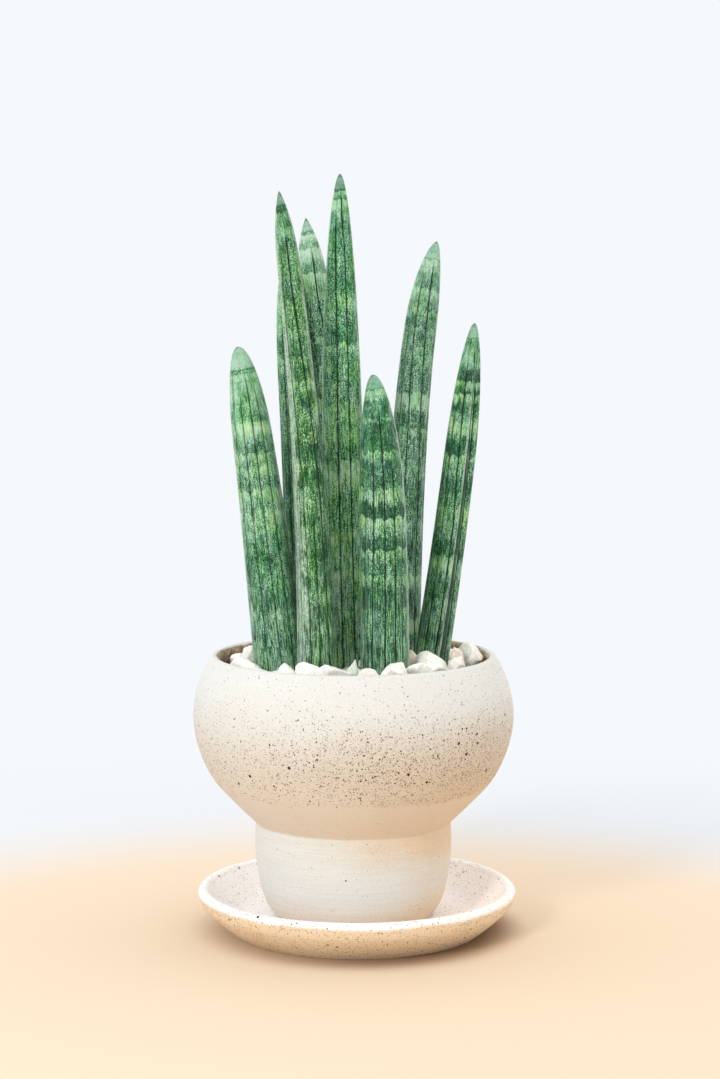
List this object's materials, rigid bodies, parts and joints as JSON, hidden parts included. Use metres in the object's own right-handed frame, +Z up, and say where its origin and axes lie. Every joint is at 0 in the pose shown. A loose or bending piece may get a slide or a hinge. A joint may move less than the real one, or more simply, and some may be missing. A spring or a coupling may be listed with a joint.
{
  "type": "potted sansevieria stuckyi",
  "caption": "Potted sansevieria stuckyi: tall round grooved leaves rising from pale pebbles in a round-bodied stoneware pot with a narrower foot, standing on a wide saucer.",
  "frame": {"origin": "centre of the saucer's flat underside, on the surface that it stands on", "axes": "+Z up, -Y towards the front that the picture shows, +X to the right seen from the front"},
  "size_m": [0.1872, 0.1854, 0.4358],
  "materials": {
    "stoneware": "matte",
    "soil": "matte",
    "pebble": "matte",
    "leaf": "satin"
  },
  "bodies": {
    "root": {"saucer": "stoneware", "pot": "stoneware", "soil": "soil", "pebbles": "pebble", "leaf_left": "leaf", "leaf_tall_left": "leaf", "leaf_behind": "leaf", "leaf_back": "leaf", "leaf_tallest": "leaf", "leaf_front": "leaf", "leaf_right": "leaf", "leaf_far_right": "leaf"}
  },
  "joints": []
}
